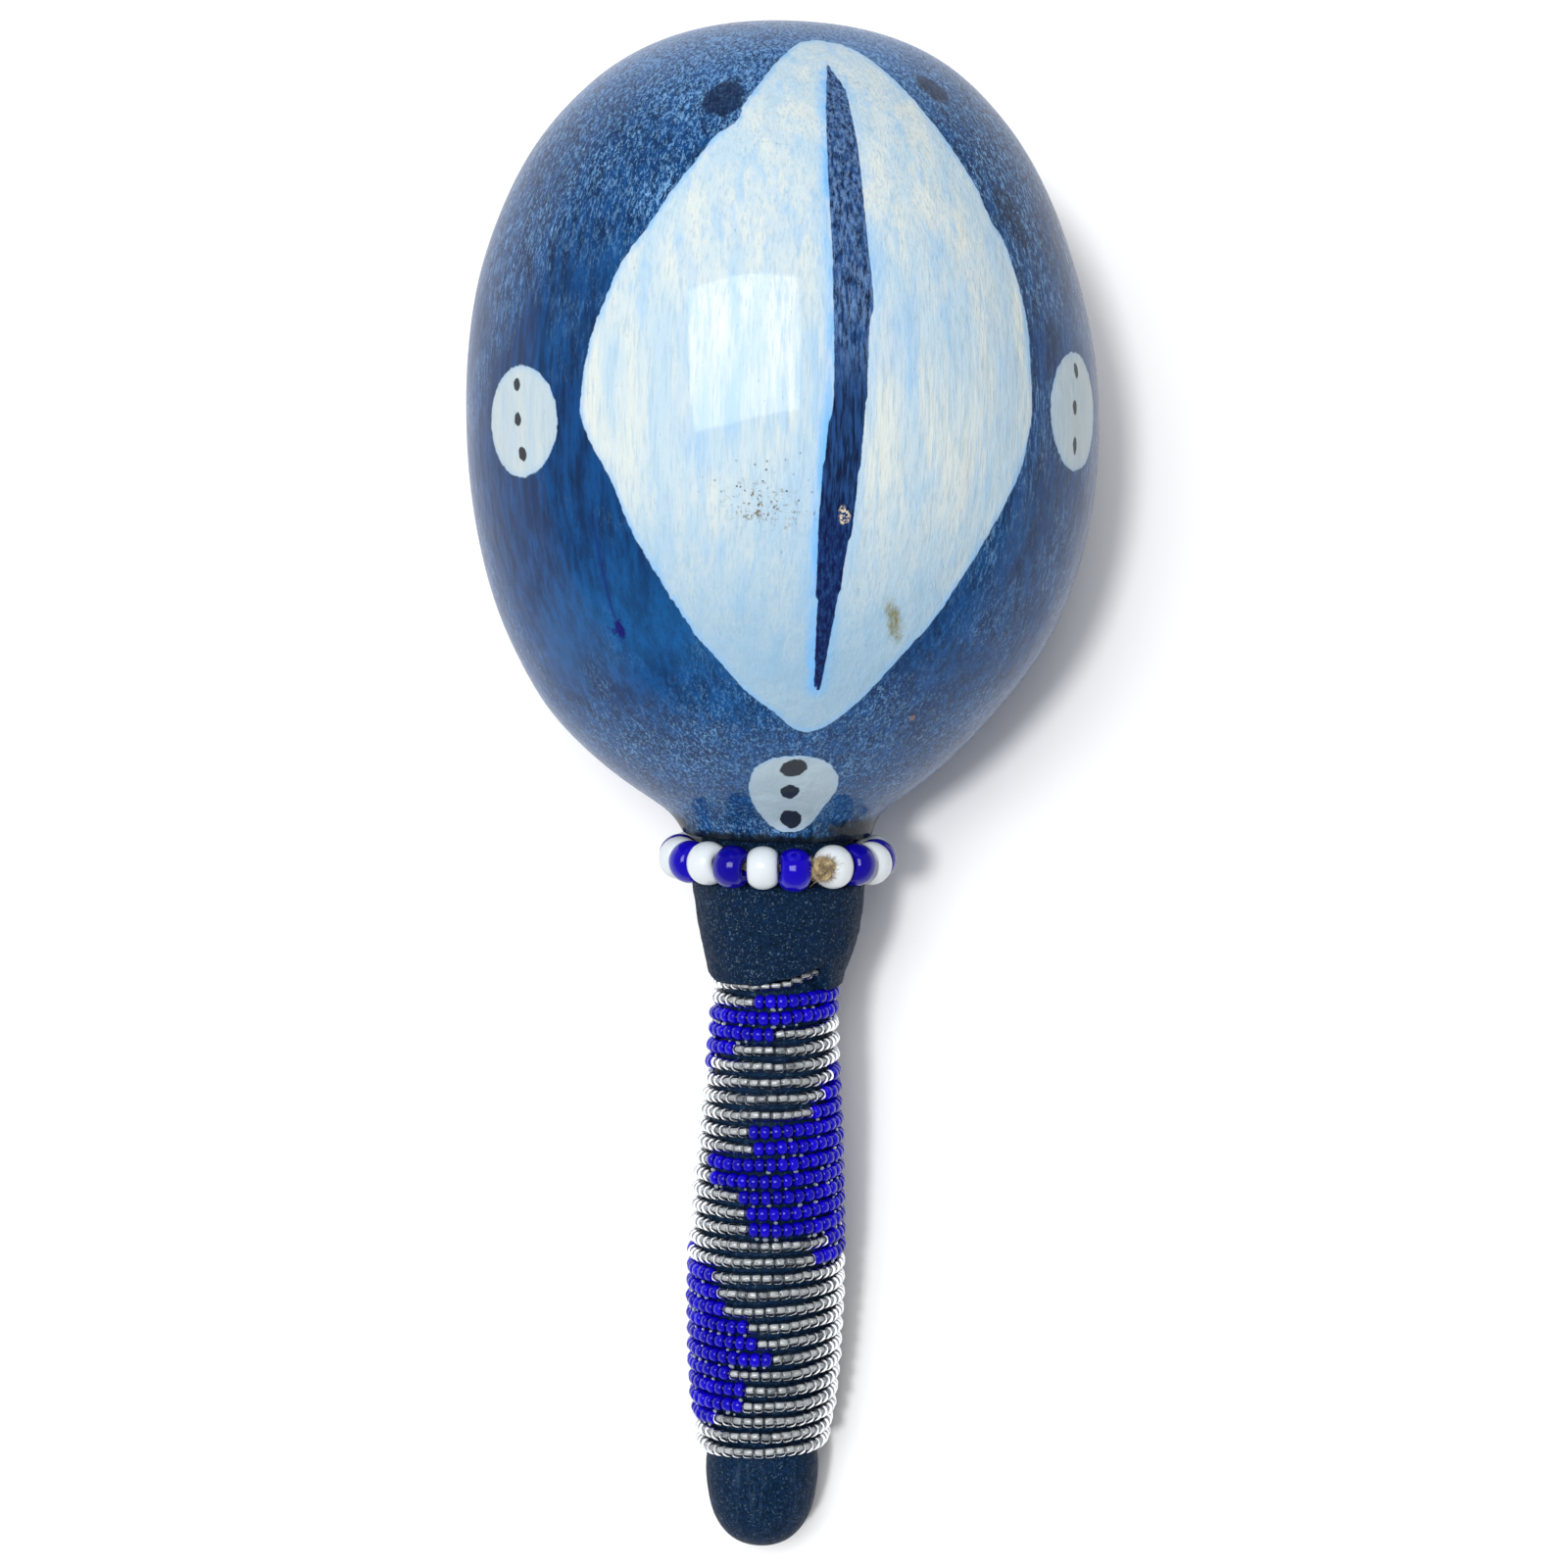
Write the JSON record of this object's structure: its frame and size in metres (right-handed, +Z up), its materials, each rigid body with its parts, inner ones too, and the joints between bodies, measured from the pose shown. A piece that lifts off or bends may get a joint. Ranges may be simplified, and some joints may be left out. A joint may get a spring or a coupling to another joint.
{
  "type": "maraca",
  "caption": "Hand rattle: a painted, egg-shaped gourd with seeds inside, on a wooden handle with a beaded collar round its neck and a spiral of seed beads on its grip.",
  "frame": {"origin": "on the surface the maraca lies on, under the middle of its box", "axes": "+Y from the handle to the crown of the gourd, along the length; +X to the right of the painted face; +Z up, out of the painted face"},
  "size_m": [0.1247, 0.2949, 0.1216],
  "materials": {
    "painted_gourd": "mottled blue paint with white brushwork, varnished to a satin gloss",
    "painted_wood": "matt slate-blue paint over wood grain",
    "painted_filler": "matt slate-blue paint on sandy moulded filler",
    "twine": "natural twisted fibre, frayed at the knot",
    "thread": "fine nylon beading thread",
    "white_glass": "glossy opaque glass",
    "cobalt_glass": "glossy opaque glass",
    "cobalt_seed_beads": "glossy opaque glass",
    "silver_lined_seed_beads": "clear glass with a silver-lined hole",
    "seed": "hard dry seed coat"
  },
  "bodies": {
    "root": {"gourd_shell": "painted_gourd", "grip_blue_turns_01_02": "cobalt_seed_beads", "grip_blue_turns_03_04": "cobalt_seed_beads", "grip_blue_turns_05_06": "cobalt_seed_beads", "grip_blue_turns_07_08": "cobalt_seed_beads", "grip_blue_turns_09_10": "cobalt_seed_beads", "grip_blue_turns_11_12": "cobalt_seed_beads", "grip_blue_turns_13_14": "cobalt_seed_beads", "grip_blue_turns_15_16": "cobalt_seed_beads", "grip_blue_turns_17_18": "cobalt_seed_beads", "grip_blue_turns_19_20": "cobalt_seed_beads", "grip_blue_turns_21_22": "cobalt_seed_beads", "grip_blue_turns_23_24": "cobalt_seed_beads", "grip_blue_turns_25_26": "cobalt_seed_beads", "grip_blue_turns_27_28": "cobalt_seed_beads", "grip_silver_turns_01_02": "silver_lined_seed_beads", "grip_silver_turns_03_04": "silver_lined_seed_beads", "grip_silver_turns_05_06": "silver_lined_seed_beads", "grip_silver_turns_07_08": "silver_lined_seed_beads", "grip_silver_turns_09_10": "silver_lined_seed_beads", "grip_silver_turns_11_12": "silver_lined_seed_beads", "grip_silver_turns_13_14": "silver_lined_seed_beads", "grip_silver_turns_15_16": "silver_lined_seed_beads", "grip_silver_turns_17_18": "silver_lined_seed_beads", "grip_silver_turns_19_20": "silver_lined_seed_beads", "grip_silver_turns_21_22": "silver_lined_seed_beads", "grip_silver_turns_23_24": "silver_lined_seed_beads", "grip_silver_turns_25_26": "silver_lined_seed_beads", "grip_silver_turns_27_28": "silver_lined_seed_beads", "grip_silver_turns_29_30": "silver_lined_seed_beads", "handle_core": "painted_wood", "neck_filler": "painted_filler", "wrap_thread": "thread"},
    "collar": {"collar_bead_blue_01": "cobalt_glass", "collar_bead_blue_02": "cobalt_glass", "collar_bead_blue_03": "cobalt_glass", "collar_bead_blue_04": "cobalt_glass", "collar_bead_blue_05": "cobalt_glass", "collar_bead_blue_06": "cobalt_glass", "collar_bead_blue_07": "cobalt_glass", "collar_bead_blue_08": "cobalt_glass", "collar_bead_blue_09": "cobalt_glass", "collar_bead_blue_10": "cobalt_glass", "collar_bead_white_01": "white_glass", "collar_bead_white_02": "white_glass", "collar_bead_white_03": "white_glass", "collar_bead_white_04": "white_glass", "collar_bead_white_05": "white_glass", "collar_bead_white_06": "white_glass", "collar_bead_white_07": "white_glass", "collar_bead_white_08": "white_glass", "collar_bead_white_09": "white_glass", "collar_bead_white_10": "white_glass", "collar_cord": "twine"},
    "tossed_seeds": {"seeds_tossed": "seed"},
    "circling_seeds": {"seeds_circling": "seed"},
    "rolling_seeds": {"seeds_rolling": "seed"}
  },
  "joints": [
    {"name": "collar_turn", "type": "hinge", "parent": "root", "child": "collar", "pos_m": [0.0007, -0.01427, 0.03993], "axis": [0, 0.9723, 0.2339], "continuous": true},
    {"name": "seeds_circle", "type": "hinge", "parent": "root", "child": "circling_seeds", "pos_m": [0, 0.05043, 0.0555], "axis": [0, 0.9723, 0.2339], "continuous": true},
    {"name": "seeds_roll", "type": "hinge", "parent": "root", "child": "rolling_seeds", "pos_m": [0, 0.08057, 0.06276], "axis": [1, 0, 0], "range_deg": [0, 75]},
    {"name": "seeds_toss", "type": "slide", "parent": "root", "child": "tossed_seeds", "axis": [0, -0.2339, 0.9723], "range_m": [0, 0.088]}
  ]
}
